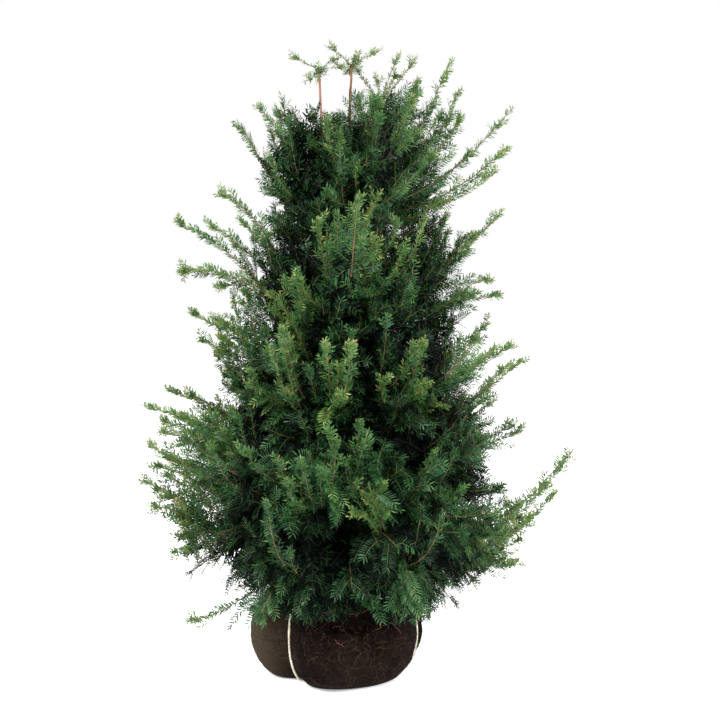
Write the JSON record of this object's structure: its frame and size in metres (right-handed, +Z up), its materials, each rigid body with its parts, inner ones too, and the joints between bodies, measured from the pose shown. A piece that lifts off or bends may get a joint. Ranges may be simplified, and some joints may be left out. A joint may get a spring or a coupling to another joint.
{
  "type": "english yew",
  "caption": "Bushy cone-shaped yew with several leaders, dug from a nursery with its round root ball wrapped in jute and tied with twine.",
  "frame": {"origin": "middle of the flat underside of the root ball, below the trunk's foot", "axes": "+Z up along the trunk, +X to the plant's fuller upper side, -Y to the side it is mostly seen from"},
  "size_m": [1.1201, 0.987, 1.6622],
  "materials": {
    "jute": "dark peaty jute over a soil ball, rough and damp, with pale fibres",
    "twine": "cream twine, matt, twisted",
    "bark": "reddish-brown flaking bark",
    "young_bark": "smooth pinkish-brown young bark",
    "needles_skirt": "dark blue-green needles, glossy above",
    "needles_lower": "dark green needles, glossy above",
    "needles_middle": "dark to mid green needles, glossy above",
    "needles_upper": "mid green needles with lighter tips",
    "needles_crown": "mid green needles with yellow-green tips",
    "needles_top": "yellow-green young needles"
  },
  "bodies": {
    "root": {"root_ball": "jute", "ties": "twine", "trunk": "bark", "leader_left": "young_bark", "needles_top_left": "needles_top", "leader_right": "young_bark", "needles_top_right": "needles_top", "needles_top_centre": "needles_top", "bough_skirt_1": "bark", "needles_skirt_1": "needles_skirt", "bough_skirt_2": "bark", "needles_skirt_2": "needles_skirt", "bough_skirt_3": "bark", "needles_skirt_3": "needles_skirt", "bough_skirt_4": "bark", "needles_skirt_4": "needles_skirt", "bough_skirt_5": "bark", "needles_skirt_5": "needles_skirt", "bough_skirt_6": "bark", "needles_skirt_6": "needles_skirt", "bough_lower_1": "bark", "needles_lower_1": "needles_lower", "bough_lower_2": "bark", "needles_lower_2": "needles_lower", "bough_lower_3": "bark", "needles_lower_3": "needles_lower", "bough_lower_4": "bark", "needles_lower_4": "needles_lower", "bough_lower_5": "bark", "needles_lower_5": "needles_lower", "bough_lower_6": "bark", "needles_lower_6": "needles_lower", "bough_middle_1": "bark", "needles_middle_1": "needles_middle", "bough_middle_2": "bark", "needles_middle_2": "needles_middle", "bough_middle_3": "bark", "needles_middle_3": "needles_middle", "bough_middle_4": "bark", "needles_middle_4": "needles_middle", "bough_middle_5": "bark", "needles_middle_5": "needles_middle", "bough_upper_1": "bark", "needles_upper_1": "needles_upper", "bough_upper_2": "bark", "needles_upper_2": "needles_upper", "bough_upper_3": "bark", "needles_upper_3": "needles_upper", "bough_upper_4": "bark", "needles_upper_4": "needles_upper", "bough_crown_1": "bark", "needles_crown_1": "needles_crown", "bough_crown_2": "bark", "needles_crown_2": "needles_crown", "bough_crown_3": "bark", "needles_crown_3": "needles_crown"}
  },
  "joints": []
}
